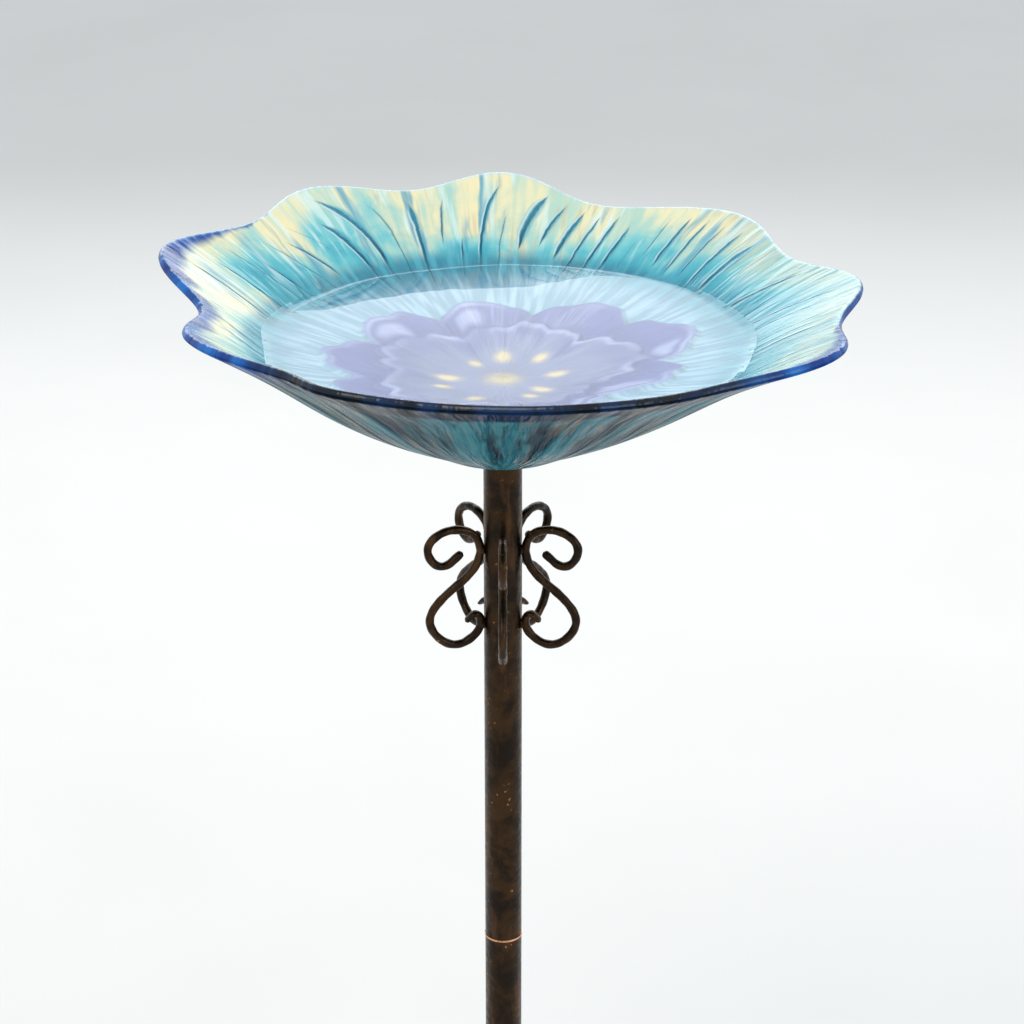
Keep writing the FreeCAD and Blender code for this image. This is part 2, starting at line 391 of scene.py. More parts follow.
def rim_colour(s, f):
    """The rim: cobalt paint at the sides; round the front, painted shade going from navy to black.
    """
    # Painted shade: navy and black round the front, where the thick glass edge looks dark.
    dark = s.mix(s.step(f["streaks"], 0.40, 0.62), RIM_SHADE_BLACK, RIM_SHADE_NAVY)
    cobalt = s.mix(s.step(f["streaks"], 0.35, 0.68), COBALT_DARK, COBALT)
    return s.mix(s.step(f["front"], 0.80, 0.62), dark, cobalt)


def wall_paint(s, f):
    """Turquoise by the water and cream towards the rim, with pale aqua, blue and tan streaks."""
    across = f["across"]
    streaks = f["streaks"]
    fine = f["fine"]
    depth = s.math("MULTIPLY_ADD", f["broad"], 0.62, across)
    depth = s.math("MULTIPLY_ADD", streaks, 0.20, depth)
    depth = s.math("MULTIPLY_ADD", f["blotch"], 0.16, depth)
    colour = s.mix(s.step(depth, 1.06, 1.30), DEEP_TURQUOISE, TURQUOISE)
    cream = s.math("MULTIPLY", s.step(depth, 1.21, 1.40), s.step(streaks, 0.34, 0.56, 0.45, 1.0))
    colour = s.mix(cream, colour, CREAM)
    pale = s.math("MULTIPLY", s.step(fine, 0.50, 0.64), s.step(across, 0.72, 0.84))
    colour = s.mix(s.math("MULTIPLY", pale, 0.55), colour, PALE_AQUA)
    wash = s.math("MULTIPLY", s.step(streaks, 0.50, 0.62), s.step(fine, 0.42, 0.60))
    colour = s.mix(s.math("MULTIPLY", wash, 0.78), colour, BLUE_WASH)
    tan = s.math("MULTIPLY", s.step(fine, 0.43, 0.35), s.step(f["broad"], 0.48, 0.60))
    colour = s.mix(s.math("MULTIPLY", tan, 0.40), colour, TAN)

    # The right of the wall is darker and bluer: partly the right lobes' bluer paint, partly painted
    # shade to dim the brightly lit right side.
    right = s.vector("DOT_PRODUCT", f["heading"], (1.0, 0.0, 0.0))
    right_blue_and_shade = s.math("MULTIPLY", s.step(right, 0.60, 0.98), s.step(streaks, 0.40, 0.62, 0.45, 0.85))
    return s.mix(right_blue_and_shade, colour, RIGHT_BLUE_AND_SHADE)


def add_veins(s, f, colour):
    """Dark veins with a halo and a glint; each one's bend and weight come with the mesh."""
    weight = s.attribute("vein").outputs["Fac"]
    line = s.math("MULTIPLY_ADD", f["around"], float(VEINS), s.attribute("bend").outputs["Fac"])
    line = s.math("MULTIPLY_ADD", s.math("SUBTRACT", f["blotch"], 0.5), 0.20, line)
    offset = s.math("SUBTRACT", s.math("FRACT", s.math("ADD", line, float(VEINS))), 0.5)
    size = s.math("ABSOLUTE", offset)
    core = s.math("DIVIDE", size, s.math("MULTIPLY_ADD", weight, 0.120, 0.008))
    vein = s.math("MULTIPLY", s.step(core, 1.0, 0.20), s.step(weight, 0.02, 0.40))
    halo = s.math("MULTIPLY", s.step(core, 3.0, 0.6), s.step(weight, 0.04, 0.60, 0.0, 0.85))
    colour = s.mix(halo, colour, VEIN_HALO)
    ink = s.mix(s.step(f["across"], 0.72, 0.90), VEIN_INK_LOW, VEIN_INK_HIGH)
    colour = s.mix(s.math("MULTIPLY", vein, 0.90), colour, ink)
    beside = s.math("SUBTRACT", offset, s.math("MULTIPLY_ADD", weight, 0.16, 0.03))
    lit = s.step(s.math("ABSOLUTE", beside), 0.06, 0.01)
    glint = s.math("MULTIPLY", lit, s.step(weight, 0.2, 0.6))
    return s.mix(s.math("MULTIPLY", glint, 0.60), colour, VEIN_GLINT), vein


def add_floor(s, f, colour):
    """Under the water the wall is teal and the floor paler, with the flower on it."""
    fine = f["fine"]
    teal = s.mix(s.step(fine, 0.38, 0.62), TEAL_DARK, TEAL_LIGHT)
    colour = s.mix(s.step(f["radius"], 0.148, 0.138, 0.0, 0.85), colour, teal)
    aqua = s.mix(s.step(fine, 0.40, 0.62), FLOOR_DARK, FLOOR_LIGHT)
    colour = s.mix(s.step(f["radius"], 0.132, 0.112, 0.0, 0.90), colour, aqua)
    grain = s.noise(s.vector("SCALE", f["heading"], 6.0), 9.0, 3.0, 0.6)
    lilac = s.mix(grain, LILAC_DARK, LILAC_LIGHT)
    lilac = s.mix(s.attribute("petal_shade").outputs["Fac"], lilac, LILAC_SHADE)
    colour = s.mix(s.attribute("petal").outputs["Fac"], colour, lilac)
    mauve = s.mix(grain, MAUVE_DARK, MAUVE_LIGHT)
    mauve = s.mix(s.attribute("cup_shade").outputs["Fac"], mauve, MAUVE_SHADE)
    colour = s.mix(s.attribute("inner_petal").outputs["Fac"], colour, mauve)
    # Painted highlights along petal edges.
    colour = s.mix(s.attribute("petal_highlight").outputs["Fac"], colour, PETAL_HIGHLIGHT)
    return s.mix(s.attribute("stamen").outputs["Fac"], colour, STAMEN_YELLOW)


def add_edge(s, f, colour):
    """The painted edge wanders in width and is widest on the left; the back has a painted highlight
    along its lip.
    """
    across = f["across"]
    side = s.vector("DOT_PRODUCT", f["heading"], (-0.62, -0.78, 0.0))
    left = s.step(side, -0.2, 0.7, 0.010, 0.110)
    # Round the front the dark band is also widened: painted shade of the thick glass edge.
    reach = s.math("MAXIMUM", left, s.step(f["front"], 0.15, 0.55, 0.010, 0.060))
    sway = s.math("SUBTRACT", f["streaks"], 0.5)
    wander = s.math("MULTIPLY", sway, s.math("MULTIPLY", reach, 2.0))
    from_rim = s.math("ADD", s.math("SUBTRACT", 1.0, across), wander)
    edge = s.step(s.math("DIVIDE", from_rim, reach), 1.0, 0.45)
    colour = s.mix(edge, colour, rim_colour(s, f))
    # A pale painted highlight along the lip at the back.
    lip_highlight = s.math("MULTIPLY", s.step(across, 0.975, 0.992), s.step(f["front"], -0.10, -0.45))
    return s.mix(s.math("MULTIPLY", lip_highlight, 0.75), colour, LIP_HIGHLIGHT), edge


def painted_inside():
    """The glass seen from above: the painted wall and its veins, the floor, flower and edge."""
    s = Shader("painted_inside")
    f = paint_fields(s)
    fine = f["fine"]
    colour, vein = add_veins(s, f, wall_paint(s, f))
    colour, edge = add_edge(s, f, add_floor(s, f, colour))
    relief = s.math("MULTIPLY_ADD", vein, -0.6, s.math("MULTIPLY", f["streaks"], 0.8))
    normal = s.bump(relief, 0.0020, 0.8)
    normal = s.bump(fine, 0.0016, 0.6, normal)
    normal = s.bump(s.math("MULTIPLY", f["blotch"], edge), 0.0010, 0.5, normal)
    return s.principled(
        Base_Color=colour,
        Roughness=s.step(fine, 0.3, 0.8, 0.12, 0.30),
        Normal=normal,
        Specular_IOR_Level=0.30,
        Coat_Weight=s.math("MULTIPLY_ADD", edge, -0.06, 0.10),
        Coat_Roughness=0.05,
    )


def painted_outside():
    """The underside in long streaks, darker and greyer: partly the back of the paint, partly painted
    shade.
    """
    s = Shader("painted_outside")
    f = paint_fields(s)
    streaks = f["streaks"]
    fine = f["fine"]
    colour = s.mix(s.step(streaks, 0.38, 0.60), BACK_DARK, BACK_TEAL)
    pale = s.math("MULTIPLY", s.step(fine, 0.52, 0.64), s.step(f["broad"], 0.60, 0.44))
    colour = s.mix(s.math("MULTIPLY", pale, 0.62), colour, BACK_PALE)
    brown = s.math("MULTIPLY", s.step(fine, 0.46, 0.38), s.step(f["broad"], 0.46, 0.60))
    colour = s.mix(s.math("MULTIPLY", brown, 0.60), colour, BACK_BROWN)
    navy = s.math("MULTIPLY", s.step(streaks, 0.46, 0.38), s.step(fine, 0.46, 0.58))
    colour = s.mix(s.math("MULTIPLY", navy, 0.80), colour, BACK_NAVY)
    wander = s.math("MULTIPLY", s.math("SUBTRACT", streaks, 0.5), 0.05)
    from_rim = s.math("ADD", s.math("SUBTRACT", f["across"], 1.0), wander)
    # Round the front the dark band is widened: painted shade of the thick glass edge.
    reach = s.step(f["front"], 0.30, 0.85, 0.050, 0.105)
    edge = s.step(s.math("DIVIDE", from_rim, reach), 1.1, 0.8)
    colour = s.mix(edge, colour, rim_colour(s, f))
    normal = s.bump(streaks, 0.0060, 0.8)
    return s.principled(
        Base_Color=colour,
        Roughness=s.step(fine, 0.3, 0.8, 0.20, 0.40),
        Normal=normal,
        Specular_IOR_Level=0.02,
    )


def bronze():
    """Dark bronze powder coat with brown clouds, small chips to copper and fine specks."""
    s = Shader("worn_bronze")
    place = s.place()
    cloud = s.noise(place, 38.0, 5.0, 0.62, 0.5)
    speck = s.noise(place, 330.0, 5.0, 0.65)
    drift = s.noise(s.vector("MULTIPLY", place, (1.0, 1.0, 0.22)), 95.0, 4.0, 0.6)
    colour = s.mix(s.step(cloud, 0.40, 0.62), BRONZE_DARK, BRONZE_BROWN)
    warm = s.math("MULTIPLY", s.step(drift, 0.53, 0.68), 0.70)
    colour = s.mix(warm, colour, BRONZE_WARM)
    chip = s.math("MULTIPLY", s.step(speck, 0.63, 0.68), s.step(cloud, 0.52, 0.62))
    colour = s.mix(chip, colour, CHIPPED_COPPER)
    rough = s.math("ADD", s.step(speck, 0.3, 0.75, 0.20, 0.40), s.math("MULTIPLY", cloud, 0.12))
    normal = s.bump(speck, 0.0006, 0.5)
    normal = s.bump(s.noise(place, 120.0, 3.0, 0.5), 0.0016, 0.5, normal)
    return s.principled(
        Base_Color=colour,
        Roughness=rough,
        Metallic=s.math("MULTIPLY_ADD", chip, 0.10, 0.85, clamp=True),
        Normal=normal,
        Coat_Weight=0.08,
        Coat_Roughness=0.08,
    )


def metal(name, dark, light, roughness, grain=(1.0, 1.0, 1.0), tarnish=None):
    """Bare metal with a brushed grain, and tarnish in clouds where a colour for it is given."""
    s = Shader(name)
    place = s.place()
    brushed = s.noise(s.vector("MULTIPLY", place, grain), 300.0, 4.0, 0.6)
    cloud = s.noise(place, 90.0, 3.0, 0.5)
    colour = s.mix(s.step(brushed, 0.3, 0.7), dark, light)
    if tarnish:
        colour = s.mix(s.step(cloud, 0.50, 0.68), colour, tarnish)
    rough = s.step(brushed, 0.3, 0.7, roughness, roughness + 0.16)
    return s.principled(
        Base_Color=colour, Roughness=rough, Metallic=1.0, Normal=s.bump(brushed, 0.0002, 0.4)
    )


def plain(name, dark, light, roughness, scale, depth):
    """A moulded or poured material with a fine grain."""
    s = Shader(name)
    grain = s.noise(s.place(), scale, 5.0, 0.6)
    colour = s.mix(s.step(grain, 0.3, 0.7), dark, light)
    rough = s.step(grain, 0.3, 0.7, roughness, roughness + 0.15)
    return s.principled(Base_Color=colour, Roughness=rough, Normal=s.bump(grain, depth, 0.5))


def water():
    """Clear water. Light reaches the bowl through it without being traced as caustics."""
    s = Shader("clear_water")
    ripple = s.noise(s.vector("MULTIPLY", s.place(), (1.0, 1.6, 1.0)), 26.0, 2.0, 0.5)
    normal = s.bump(ripple, 0.0006, 0.16)
    glass = s.node("ShaderNodeBsdfGlass", Color=WATER_CLEAR, Roughness=0.0, IOR=1.333)
    s.put(glass.inputs["Normal"], normal)
    clear = s.node("ShaderNodeBsdfTransparent", Color=WATER_CLEAR)
    path = s.tree.nodes.new("ShaderNodeLightPath")
    either = s.node("ShaderNodeMixShader")
    s.put(either.inputs[0], path.outputs["Is Shadow Ray"])
    s.tree.links.new(glass.outputs[0], either.inputs[1])
    s.tree.links.new(clear.outputs[0], either.inputs[2])
    s.tree.links.new(either.outputs[0], s.output.inputs["Surface"])
    return s.material


# ---------------------------------------------------------------- mesh helpers


def grid_object(name, rows, closed=True, uv_rows=None):
    """A smooth mesh through rows of points, each row a ring of the same count."""
    count = rows.shape[1]
    mesh = bpy.data.meshes.new(name)
    faces = []
    wrap = count if closed else count - 1
    for i in range(rows.shape[0] - 1):
        a, b = i * count, (i + 1) * count
        for j in range(wrap):
            k = (j + 1) % count
            faces.append((a + j, a + k, b + k, b + j))
    mesh.from_pydata(rows.reshape(-1, 3).tolist(), [], faces)
    if uv_rows is not None:
        layer = mesh.uv_layers.new(name="glaze")
        corner = np.array([loop.vertex_index for loop in mesh.loops])
        u = (corner % count) / count
        first = np.arange(len(corner)).reshape(-1, 4)
        last_column = (corner.reshape(-1, 4)[:, 0] % count) == count - 1
        for pick in (1, 2):
            u[first[last_column, pick]] = 1.0
        v = uv_rows[corner // count]
        layer.data.foreach_set("uv", np.stack([u, v], 1).ravel())
    mesh.polygons.foreach_set("use_smooth", [True] * len(mesh.polygons))
    made = bpy.data.objects.new(name, mesh)
    bpy.context.scene.collection.objects.link(made)
    return made


def close_rings(made, starts, count, smoothed=True, facing_up=False):
    """Fills the ring of points that begins at each start, and turns the faces outwards or up."""
    mesh = bmesh.new()
    mesh.from_mesh(made.data)
    mesh.verts.ensure_lookup_table()
    for start in starts:
        ring = [mesh.verts[start + j] for j in range(count)]
        mesh.faces.new(ring if start else ring[::-1]).smooth = smoothed
    bmesh.ops.recalc_face_normals(mesh, faces=mesh.faces)
    if facing_up and sum(face.normal.z for face in mesh.faces) < 0:
        bmesh.ops.reverse_faces(mesh, faces=mesh.faces)
    mesh.to_mesh(made.data)
    mesh.free()


def add_attribute(made, name, values):
    layer = made.data.attributes.new(name, "FLOAT", "POINT")
    layer.data.foreach_set("value", np.asarray(values, dtype=np.float32).ravel())


def smooth(values, passes):
    """Evens out a table along both ways; columns wrap round, the end rows stay put."""
    for _ in range(passes):
        values = (np.roll(values, 1, 1) + 2 * values + np.roll(values, -1, 1)) / 4
        middle = (values[:-2] + 2 * values[1:-1] + values[2:]) / 4
        values = np.vstack([values[:1], middle, values[-1:]])
    return values


def ease(values, low, high):
    """0 at low, 1 at high and smooth between; low may be the larger."""
    t = np.clip((values - low) / (high - low), 0, 1)
    return t * t * (3 - 2 * t)


# ---------------------------------------------------------------- bowl


def veins(theta, share):
    """Each point's bend of the vein lines, the weight of its vein, and its offset from that vein."""
    turn = np.degrees(theta)
    swing = np.cos(np.radians(4 * (turn - 93))) + np.cos(np.radians(2 * (turn - 50)))
    out = np.clip((share - 0.55) / 0.45, 0, 1)
    bend = 1.7 * swing * out**1.8 + 0.16 * np.sin(7 * theta) * np.sin(9 * share)
    line = theta / (2 * math.pi) * VEINS + bend + VEINS
    number = np.floor(line).astype(int) % VEINS
    dice = np.random.default_rng(VEIN_SEED)
    weight = dice.uniform(0.10, 1.0, VEINS) ** 1.2
    start = dice.uniform(0.58, 0.78, VEINS)
    length = dice.uniform(0.18, 0.42, VEINS)
    end = np.minimum(start + length, 0.965)
    # On the left and right lobes the veins are lighter, start lower and run further out.
    aside = ease(np.abs(np.cos(theta)), 0.70, 0.92)
    heft = weight[number] * (1 - 0.30 * aside)
    start = start[number] + (0.62 - start[number]) * 0.5 * aside
    end = end[number] + (0.95 - end[number]) * 0.6 * aside
    begun = ease(share, start - 0.03, start + 0.05)
    over = ease(share, end - 0.09, end)
    return bend, heft * begun * (1 - over), line % 1.0 - 0.5


def petal_ring(turn_round, size, count, turn, ruffle):
    """The outline of a ring of petals, and how near each direction is to a petal's middle."""
    lobe = np.abs(np.cos(count * (turn_round - math.radians(turn)) / 2)) ** 0.7
    sway = 1 + 0.09 * np.sin(2 * turn_round + 0.5) + 0.05 * np.sin(3 * turn_round + 1.1)
    frill = np.sin(19 * turn_round + 3 * np.sin(2 * turn_round))
    frill += 0.6 * np.sin(31 * turn_round + 1.0)
    outline = size * (1 - PETAL_NOTCH + PETAL_NOTCH * lobe) * sway * (1 + ruffle * frill)
    return outline, lobe


def stamens(x, y, spread):
    """Beads in a ring, each its own size and turn, round the flower's eye."""
    beads = np.zeros_like(spread)
    for n in range(STAMENS):
        turn = math.radians(90 + 360 * n / STAMENS + 9 * math.sin(4 * n))
        distance = STAMEN_RING * (1 + 0.16 * math.sin(5 * n))
        size = STAMEN_SIZE * (1 + 0.25 * math.sin(3 * n + 1))
        dx = x - distance * math.cos(turn)
        dy = y - distance * math.sin(turn)
        along = dx * math.cos(turn) + dy * math.sin(turn)
        aside = -dx * math.sin(turn) + dy * math.cos(turn)
        beads = np.maximum(beads, np.exp(-((along / (1.5 * size)) ** 2 + (aside / size) ** 2)))
    return np.maximum(beads, 0.9 * np.exp(-((spread / FLOWER_EYE) ** 2)))


def flower(x, y):
    """The flower's paint at each point, and how far it stands up from the floor."""
    spread = np.hypot(x, y)
    turn_round = np.arctan2(y, x)
    outline, lobe = petal_ring(turn_round, OUTER_PETAL, OUTER_PETALS, 98, 0.018)
    cup, cup_lobe = petal_ring(turn_round, INNER_PETAL, INNER_PETALS, 80, 0.030)
    petal = ease(spread, outline + 0.0012, outline - 0.0012)
    inner_petal = ease(spread, cup + 0.0012, cup - 0.0012)

    # Painted highlights along the edges of some petals, and a pale painted highlight patch in the
    # brightest.
    glow = 0.5 + 0.5 * np.sin(5 * turn_round + 2.0 * np.sin(3 * turn_round))
    edge = 0.55 * glow * np.exp(-(((spread - outline + 0.0030) / 0.0020) ** 2))
    cup_highlight = 0.45 * (1 - glow) * np.exp(-(((spread - cup + 0.0030) / 0.0024) ** 2))
    edge = np.maximum(edge, cup_highlight)
    highlight_patch = ease(glow, 0.62, 0.95) * ease(spread, cup + 0.004, cup + 0.012)
    edge = np.maximum(edge, 0.55 * highlight_patch * ease(spread, outline - 0.006, outline - 0.012))

    # Shade in the seams between petals, in their folds and under the inner ring.
    seam = ease(lobe, 0.42, 0.10) * ease(spread, 0.030, 0.050) * (1 - inner_petal)
    fold = 0.5 + 0.5 * np.sin(23 * turn_round + 2.5 * np.sin(4 * turn_round) + 40 * spread)
    shade = np.clip(seam + 0.7 * np.exp(-(((spread - cup - 0.006) / 0.007) ** 2)), 0, 1)
    shade = np.clip(shade + 0.45 * fold * ease(spread, outline - 0.020, outline), 0, 1)
    cup_shade = ease(spread, cup - 0.026, cup - 0.008) * (0.6 + 0.4 * fold)
    cup_shade = cup_shade * (0.65 + 0.35 * np.sin(turn_round))
    cup_seam = ease(cup_lobe, 0.35, 0.05) * ease(spread, 0.03, 0.05)
    cup_shade = np.clip(cup_shade + 0.5 * cup_seam, 0, 1)

    stamen = stamens(x, y, spread)
    raised = ease(spread, outline + 0.0035, outline - 0.0005)
    rise = OUTER_RISE * ease(spread, outline - 0.030, outline) * (0.7 + 0.3 * fold)
    lift = raised * (0.0012 + rise)
    raised = ease(spread, cup + 0.0035, cup - 0.0005)
    rise = INNER_RISE * ease(spread, cup - 0.026, cup) * (0.7 + 0.3 * fold)
    lift += raised * (0.0010 + rise)
    lift -= 0.0008 * seam * petal
    lift += STAMEN_HEIGHT * stamen
    paint = {
        "petal": petal,
        "inner_petal": inner_petal,
        "petal_shade": shade,
        "cup_shade": cup_shade,
        "petal_highlight": edge * petal,
        "stamen": np.clip(stamen * 1.6, 0, 1),
    }
    return paint, lift


def glass_height(tree, x, y, start, way):
    """The height at which an upright ray meets the CAD glass, or None past the rim."""
    hit = tree.ray_cast(Vector((x, y, start)), way)[0]
    return None if hit is None else hit[2]


def rim_reach(tree, cosines, sines, top):
    """How far out the rim lies in each column, found by halving."""
    reach = np.zeros(COLUMNS)
    for j in range(COLUMNS):
        near, far = RIM_SEARCH
        for _ in range(RIM_HALVINGS):
            middle = (near + far) / 2
            hit = glass_height(tree, middle * cosines[j], middle * sines[j], top, DOWN)
            if hit is None:
                far = middle
            else:
                near = middle
        reach[j] = near
    return smooth(reach[None, :], 1)[0]


def glass_rows(tree, radii, cosines, sines, start, way):
    """The glass's height at each radius; a ray that misses takes the height of the ring before."""
    heights = np.zeros(radii.shape)
    for i, row in enumerate(radii):
        for j in range(COLUMNS):
            z = glass_height(tree, row[j] * cosines[j], row[j] * sines[j], start, way)
            heights[i, j] = heights[i - 1, j] if z is None else z
    return smooth(heights, 1)


def bowl():
    """The bowl rebuilt as a fine grid over the CAD glass, with the pressed flower and the water."""
    low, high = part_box("glass_bowl")
    graph = bpy.context.evaluated_depsgraph_get()
    tree = BVHTree.FromObject(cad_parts["glass_bowl"], graph)
    angles = np.linspace(0, 2 * math.pi, COLUMNS, endpoint=False)
    cosines = np.cos(angles)
    sines = np.sin(angles)
    top = high[2] + 0.01
    bottom = low[2] - 0.01
    reach = rim_reach(tree, cosines, sines, top)

    floor_r = np.repeat(np.linspace(CENTRE_HOLE, FLOOR_RADIUS, FLOOR_RINGS)[:, None], COLUMNS, 1)
    wall_share = 1 - (1 - np.linspace(0, 1, WALL_RINGS + 1)[1:, None]) ** RIM_CROWDING
    inner_r = np.vstack([floor_r, FLOOR_RADIUS + (reach - FLOOR_RADIUS) * wall_share])
    outside_share = 1 - np.linspace(0, 1, OUTSIDE_RINGS + 1)[1:, None] ** RIM_CROWDING
    outer_r = CENTRE_HOLE + (reach - CENTRE_HOLE) * outside_share
    within = np.minimum(inner_r, reach - RIM_MARGIN)
    inner_z = glass_rows(tree, within, cosines, sines, top, DOWN)
    outer_z = glass_rows(tree, outer_r, cosines, sines, bottom, UP)

    theta = np.broadcast_to(angles, inner_r.shape)
    paint, lift = flower(inner_r * cosines, inner_r * sines + FLOWER_FORWARD)
    bend, weight, offset = veins(theta, inner_r / reach)
    inner_z = inner_z + lift
    inner_z -= VEIN_DEPTH * weight * np.exp(-((offset / 0.10) ** 2))
    inner_z += VEIN_BANK * weight * np.exp(-(((np.abs(offset) - 0.24) / 0.10) ** 2))

    inner_rows = np.stack([inner_r * cosines, inner_r * sines, inner_z], 2)
    outer_rows = np.stack([outer_r * cosines, outer_r * sines, outer_z], 2)
    rows = np.vstack([inner_rows, outer_rows])
    across = np.concatenate([(inner_r / reach).mean(1), 2 - (outer_r / reach).mean(1)])
    made = grid_object("bowl_glass", rows, uv_rows=across)
    close_rings(made, (0, (len(rows) - 1) * COLUMNS), COLUMNS)

    paint["bend"] = bend
    paint["vein"] = weight
    for name, values in paint.items():
        add_attribute(made, name, np.vstack([values, np.zeros_like(outer_r)]))
    made.data.materials.append(painted_inside())
    made.data.materials.append(painted_outside())
    outside_start = (len(inner_r) - 1) * COLUMNS - COLUMNS // 2
    for polygon in made.data.polygons:
        if min(polygon.vertices) >= outside_start:
            polygon.material_index = 1
    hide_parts("glass_bowl")
    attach(made, "bowl")

    # The water's edge follows the inner wall.
    level = low[2] + GLASS_FLOOR + WATER_DEPTH
    shore = np.array([np.interp(level, inner_z[:, j], inner_r[:, j]) for j in range(COLUMNS)])
    rings = [(shore * share, level + rise) for share, rise in WATER_RINGS]
    rings.append((shore + WATER_OVERLAP, level + WATER_CLIMB))
    water_rows = [
        np.stack([r * cosines, r * sines, np.full(COLUMNS, z)], 1) for r, z in rings
    ]
    pool = grid_object("water", np.array(water_rows))
    close_rings(pool, (0,), COLUMNS, facing_up=True)
    pool.data.materials.append(water())
    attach(pool, "bowl")
    pool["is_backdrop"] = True


# ---------------------------------------------------------------- pole


def threaded_rod(name, node, body, material):
    """A rod with a helical thread cut inside the CAD stud's size."""
    low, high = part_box(node)
    radius = (high[0] - low[0]) / 2
    length = high[2] - low[2]
    steps = int(length / THREAD_PITCH * THREAD_STEPS_PER_TURN)
    angles = np.linspace(0, 2 * math.pi, THREAD_SIDES, endpoint=False)
    rows = []
    for i in range(steps + 1):
        z = low[2] + length * i / steps
        phase = ((z - low[2]) / THREAD_PITCH - angles / (2 * math.pi)) % 1.0
        crest = np.clip(THREAD_SLOPE * np.abs(2 * phase - 1) - THREAD_ROOT, 0, 1)
        from_end = min(z - low[2], high[2] - z)
        limit = radius - max(0.0, THREAD_DEPTH - from_end)
        r = np.minimum(radius - THREAD_DEPTH + THREAD_DEPTH * crest, limit)
        rows.append(np.stack([r * np.cos(angles), r * np.sin(angles), np.full(THREAD_SIDES, z)], 1))
    made = grid_object(name, np.array(rows))
    close_rings(made, (0, steps * THREAD_SIDES), THREAD_SIDES, smoothed=False)
    made.data.materials.append(material)
    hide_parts(node)
    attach(made, body)


def curve_through(points, steps):
    """Points along a smooth line through these points."""
    padded = np.vstack([2 * points[0] - points[1], points, 2 * points[-1] - points[-2]])
    made = []
    for i in range(1, len(padded) - 2):
        a, b, c, d = padded[i - 1 : i + 3]
        for t in np.linspace(0, 1, steps, endpoint=False):
            square = (2 * a - 5 * b + 4 * c - d) * t**2
            cube = (3 * b - a - 3 * c + d) * t**3
            made.append(0.5 * (2 * b + (c - a) * t + square + cube))
    made.append(points[-1])
    return np.array(made)


def wire_rows(number, tube, waist):
    """Rings along a scroll's lumpy wire: its upper end domed, its lower end flattened."""
    rest = tube + SCROLL_WIRE / 2
    points = [(rest + u * SCROLL_REACH, waist + v * SCROLL_HEIGHT) for u, v in SCROLL_LINE]
    line = curve_through(np.array(points), SCROLL_STEPS)
    tangent = np.gradient(line, axis=0)
    tangent /= np.linalg.norm(tangent, axis=1)[:, None]
    steps = np.linalg.norm(np.diff(line, axis=0), axis=1)
    travel = np.concatenate([[0], np.cumsum(steps)])
    left = travel[-1] - travel
    rows = []
    for i in range(len(line)):
        lump = 1 + 0.035 * math.sin(410 * travel[i] + number)
        lump += 0.025 * math.sin(930 * travel[i] + 2 * number)
        dome = math.sqrt(max(0.0, 1 - (1 - min(1.0, travel[i] / WIRE_DOME)) ** 2))
        tip = min(1.0, left[i] / WIRE_TIP) ** 0.5
        flat = float(ease(left[i], *TIP_FLATTENED))
        size = SCROLL_WIRE / 2 * lump * max(dome, 0.02) * max(tip, 0.02) * WIRE_FIT
        thick = size * (1 - 0.45 * flat)
        wide = size * (1 + 0.30 * flat)
        ring = []
        for angle in np.linspace(0, 2 * math.pi, WIRE_SIDES, endpoint=False):
            out = line[i, 0] - thick * math.cos(angle) * tangent[i, 1]
            rise = line[i, 1] + thick * math.cos(angle) * tangent[i, 0]
            ring.append((max(out, tube - TUBE_BITE), wide * math.sin(angle), rise))
        rows.append(ring)
    return np.array(rows)


def weld_rows(number, k, tube, height):
    """Rings of a lumpy weld bead against the tube."""
    rows = []
    for tilt in np.linspace(-math.pi / 2, math.pi / 2, WELD_RINGS):
        ring = []
        for angle in np.linspace(0, 2 * math.pi, WIRE_SIDES, endpoint=False):
            wobble = 1 + 0.07 * math.sin(3 * angle + number + k)
            wobble += 0.05 * math.sin(5 * tilt + 2 * number)
            size = WELD_RADIUS * wobble
            x = size * math.cos(tilt) * math.cos(angle)
            y = size * math.cos(tilt) * math.sin(angle)
            out = max(tube + WELD_STANDOFF + WELD_FLATNESS * x, tube - TUBE_BITE)
            ring.append((out, y, height + size * math.sin(tilt)))
        rows.append(ring)
    return np.array(rows)


def scroll(number, material):
    """A hand-bent wire scroll with its two welds, turned to its place round the tube."""
    name = "scroll_" + str(number)
    low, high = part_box(name)
    turn = math.atan2(low[1] + high[1], low[0] + high[0])
    tube_low, tube_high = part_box("upper_tube")
    tube = (tube_high[0] - tube_low[0]) / 2
    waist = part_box("glass_bowl")[0][2] - SCROLL_WAIST_BELOW_BOWL
    parts = [wire_rows(number, tube, waist)]
    for k, level in enumerate(SCROLL_WELDS):
        parts.append(weld_rows(number, k, tube, waist + level * SCROLL_HEIGHT))

    whole = bmesh.new()
    for part in parts:
        out = part[..., 0]
        aside = part[..., 1]
        x = out * math.cos(turn) - aside * math.sin(turn)
        y = out * math.sin(turn) + aside * math.cos(turn)
        piece = grid_object("piece", np.stack([x, y, part[..., 2]], 2))
        close_rings(piece, (0, (len(part) - 1) * WIRE_SIDES), WIRE_SIDES)
        piece_mesh = piece.data
        whole.from_mesh(piece_mesh)
        bpy.data.objects.remove(piece)
        bpy.data.meshes.remove(piece_mesh)
    mesh = bpy.data.meshes.new(name)
    whole.to_mesh(mesh)
    whole.free()
    wire = bpy.data.objects.new("wire_" + name, mesh)
    bpy.context.scene.collection.objects.link(wire)
    mesh.materials.append(material)
    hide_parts(name)
    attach(wire, "upper_pole")


def repaint(node, material):
    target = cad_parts[node]
    target.data.materials.clear()
    target.data.materials.append(material)


# ---------------------------------------------------------------- object

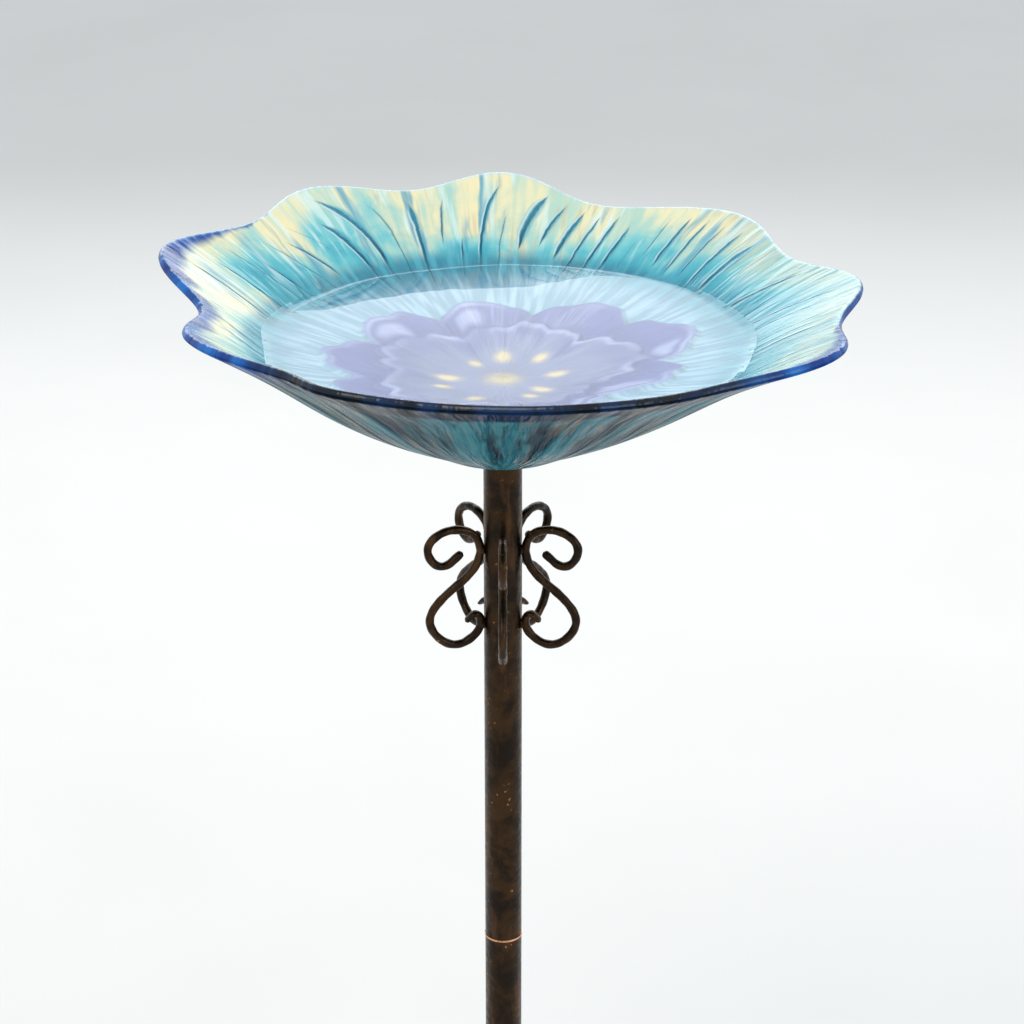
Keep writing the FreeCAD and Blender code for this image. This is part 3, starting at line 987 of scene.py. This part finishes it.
bowl()
bronze_look = bronze()
steel_look = metal("zinc_steel", STEEL_DARK, STEEL_LIGHT, 0.26, grain=(1, 1, 6))
copper_look = metal("copper_edge", COPPER_DARK, COPPER_LIGHT, 0.22, tarnish=COPPER_TARNISH)
rubber_look = plain("washer_rubber", RUBBER_DARK, RUBBER_LIGHT, 0.55, 500.0, 0.0003)
plastic_look = plain("cap_plastic", PLASTIC_DARK, PLASTIC_LIGHT, 0.42, 700.0, 0.0002)
bond_look = plain("silicone_bond", BOND_DARK, BOND_LIGHT, 0.35, 200.0, 0.0003)
for node in BRONZE_NODES:
    repaint(node, bronze_look)
for node in STEEL_NODES:
    repaint(node, steel_look)
repaint("joint_ring", copper_look)
repaint("rubber_washer", rubber_look)
repaint("tube_end_cap", plastic_look)
repaint("bond_disc", bond_look)
threaded_rod("flange_stud_thread", "flange_stud", "bowl", steel_look)
threaded_rod("coupling_stud_thread", "coupling_stud", "lower_pole", steel_look)
for number in range(1, SCROLLS + 1):
    scroll(number, bronze_look)


# ---------------------------------------------------------------- stage

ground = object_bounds()[0][2]
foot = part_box("glass_bowl")[0][2]

floor_shader = Shader("pale_floor")
mottle = floor_shader.noise(floor_shader.place(), 3.0, 3.0, 0.5)
floor_material = floor_shader.principled(
    Base_Color=floor_shader.mix(mottle, FLOOR_DULL, FLOOR_PALE), Roughness=0.75
)
ends = (-FLOOR_HALF, FLOOR_HALF)
floor = grid_object("floor", np.array([[(x, y, ground) for x in ends] for y in ends]), closed=False)
floor.data.materials.append(floor_material)
floor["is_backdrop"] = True

world = bpy.data.worlds.new("sky")
world.use_nodes = True
background = world.node_tree.nodes["Background"]
background.inputs["Color"].default_value = SKY_COLOUR
background.inputs["Strength"].default_value = SKY_STRENGTH
bpy.context.scene.world = world
bpy.context.scene.view_settings.view_transform = "Standard"


def softbox(name, place, size, power, colour):
    """A soft light that faces the bowl and that the camera doesn't see."""
    aim = Vector((0, 0, foot + LIGHT_AIM))
    light = bpy.data.lights.new(name, "AREA")
    light.shape = "RECTANGLE"
    light.size, light.size_y = size
    light.energy = power
    light.color = colour
    made = bpy.data.objects.new(name, light)
    made.location = place
    made.rotation_mode = "QUATERNION"
    made.rotation_quaternion = (aim - Vector(place)).to_track_quat("-Z", "Y")
    bpy.context.scene.collection.objects.link(made)
    made.visible_camera = False


for light in LIGHTS:
    softbox(*light)

camera_data = bpy.data.cameras.new("camera")
camera_data.lens = LENS
camera_data.sensor_width = SENSOR_WIDTH
camera_data.clip_start = CLIP_START
camera_data.clip_end = CLIP_END
camera = bpy.data.objects.new("camera", camera_data)
bpy.context.scene.collection.objects.link(camera)
elevation = math.radians(CAMERA_ELEVATION)
pitch = math.radians(CAMERA_ELEVATION + CAMERA_AIM_DROP)
camera.location = (
    CAMERA_RIGHT,
    -CAMERA_DISTANCE * math.cos(elevation),
    foot + CAMERA_DISTANCE * math.sin(elevation),
)
camera.rotation_euler = (math.pi / 2 - pitch, 0, 0)
bpy.context.scene.camera = camera
